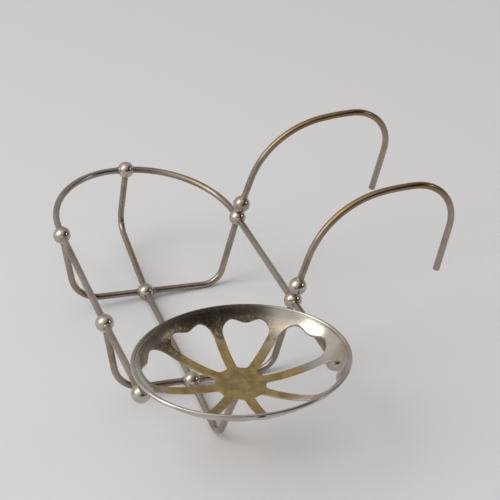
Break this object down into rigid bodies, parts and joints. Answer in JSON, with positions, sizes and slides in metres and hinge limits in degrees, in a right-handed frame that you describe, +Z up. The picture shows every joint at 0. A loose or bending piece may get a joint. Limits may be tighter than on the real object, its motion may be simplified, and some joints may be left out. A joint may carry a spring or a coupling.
{
  "type": "over-bath soap and sponge rack",
  "caption": "Antique over-the-bath rack of bent nickel-plated wire with brazed balls, two rim hooks and a pierced oval soap dish.",
  "frame": {"origin": "middle of the bounding box on the surface the rack stands on", "axes": "+X towards the two rim hooks, +Y towards the rear bow of the sponge basket, +Z up"},
  "size_m": [0.2276, 0.2902, 0.1206],
  "materials": {
    "nickel_wire": "worn nickel plate on brass, polished, tarnished brownish",
    "nickel_ball": "polished nickel plate on brass, lightly tarnished",
    "dish_plate": "nickel plate worn through to brass on the floor and spokes, spotted on the walls"
  },
  "bodies": {
    "root": {"top_rail": "nickel_wire", "rear_hoop_left": "nickel_wire", "rear_hoop_right": "nickel_wire", "front_hoop_left": "nickel_wire", "front_hoop_right": "nickel_wire", "keel": "nickel_wire", "rear_hook": "nickel_wire", "front_hook": "nickel_wire", "ball_bow": "nickel_ball", "ball_rear_left": "nickel_ball", "ball_rear_right": "nickel_ball", "ball_front_left": "nickel_ball", "ball_front_right": "nickel_ball", "ball_end_left": "nickel_ball", "ball_end_right": "nickel_ball", "ball_rear_floor": "nickel_ball", "ball_front_floor": "nickel_ball", "ball_rear_hook": "nickel_ball", "ball_front_hook": "nickel_ball", "soap_dish": "dish_plate"}
  },
  "joints": []
}
